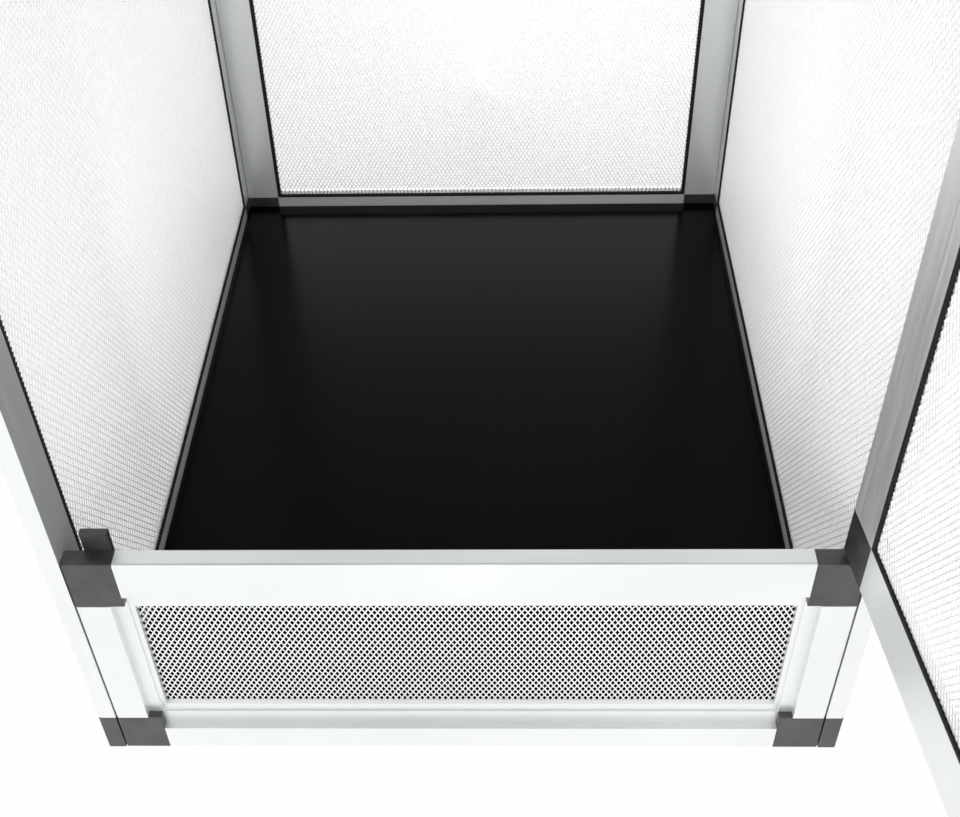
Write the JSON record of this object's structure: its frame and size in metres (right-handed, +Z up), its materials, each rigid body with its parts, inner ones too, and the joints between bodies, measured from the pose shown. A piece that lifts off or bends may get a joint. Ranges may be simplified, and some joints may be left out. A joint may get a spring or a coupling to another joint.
{
  "type": "mesh terrarium",
  "caption": "Upright mesh terrarium: flat aluminium frames with black corner connectors, fine metal mesh walls, a hinged front door above a low front panel, and a black floor sheet.",
  "frame": {"origin": "middle of the underside of the lower front frame, halfway through the front frames' thickness; the door's hinge axis stands in the same plane", "axes": "+Z up, +Y from the front towards the back, +X to the right as seen from the front"},
  "size_m": [0.449, 0.9141, 0.75],
  "materials": {
    "bar_aluminium": "satin anodised",
    "connector_plastic": "matte moulded",
    "wire_mesh": "fine expanded sheet, bright",
    "spline_rubber": "matte rubber cord",
    "floor_plastic": "gloss sheet",
    "latch_plastic": "matte moulded",
    "fixing_steel": "zinc plated"
  },
  "bodies": {
    "cage": {"base_connectors": "connector_plastic", "base_front_rail": "bar_aluminium", "base_left_rail": "bar_aluminium", "base_rear_rail": "bar_aluminium", "base_right_rail": "bar_aluminium", "floor_sheet": "floor_plastic", "latch_screw": "fixing_steel", "latch_washer": "fixing_steel", "left_bottom_rail": "bar_aluminium", "left_connectors": "connector_plastic", "left_frame_screws": "fixing_steel", "left_front_post": "bar_aluminium", "left_mesh": "wire_mesh", "left_rear_post": "bar_aluminium", "left_spline": "spline_rubber", "left_top_rail": "bar_aluminium", "lower_front_bottom_rail": "bar_aluminium", "lower_front_connectors": "connector_plastic", "lower_front_left_post": "bar_aluminium", "lower_front_mesh": "wire_mesh", "lower_front_mid_rail": "bar_aluminium", "lower_front_right_post": "bar_aluminium", "lower_front_spline": "spline_rubber", "lower_hinge_pin": "fixing_steel", "rear_bottom_rail": "bar_aluminium", "rear_connectors": "connector_plastic", "rear_left_post": "bar_aluminium", "rear_mesh": "wire_mesh", "rear_right_post": "bar_aluminium", "rear_spline": "spline_rubber", "rear_top_rail": "bar_aluminium", "right_bottom_rail": "bar_aluminium", "right_connectors": "connector_plastic", "right_frame_screws": "fixing_steel", "right_front_post": "bar_aluminium", "right_mesh": "wire_mesh", "right_rear_post": "bar_aluminium", "right_spline": "spline_rubber", "right_top_rail": "bar_aluminium", "top_connectors": "connector_plastic", "top_front_rail": "bar_aluminium", "top_left_rail": "bar_aluminium", "top_mesh": "wire_mesh", "top_rear_rail": "bar_aluminium", "top_right_rail": "bar_aluminium", "top_spline": "spline_rubber", "upper_hinge_pin": "fixing_steel"},
    "door": {"door_bottom_rail": "bar_aluminium", "door_connectors": "connector_plastic", "door_free_post": "bar_aluminium", "door_hinge_post": "bar_aluminium", "door_mesh": "wire_mesh", "door_spline": "spline_rubber", "door_top_rail": "bar_aluminium"},
    "turn_button": {"latch_button": "latch_plastic"}
  },
  "joints": [
    {"name": "door_hinge", "type": "hinge", "parent": "cage", "child": "door", "pos_m": [0.1932, 0, 0.45], "axis": [0, 0, 1], "range_deg": [-96, 7]},
    {"name": "button_turn", "type": "hinge", "parent": "cage", "child": "turn_button", "pos_m": [-0.205, -0.0076, 0.45], "axis": [0, -1, 0], "range_deg": [0, 90]}
  ]
}
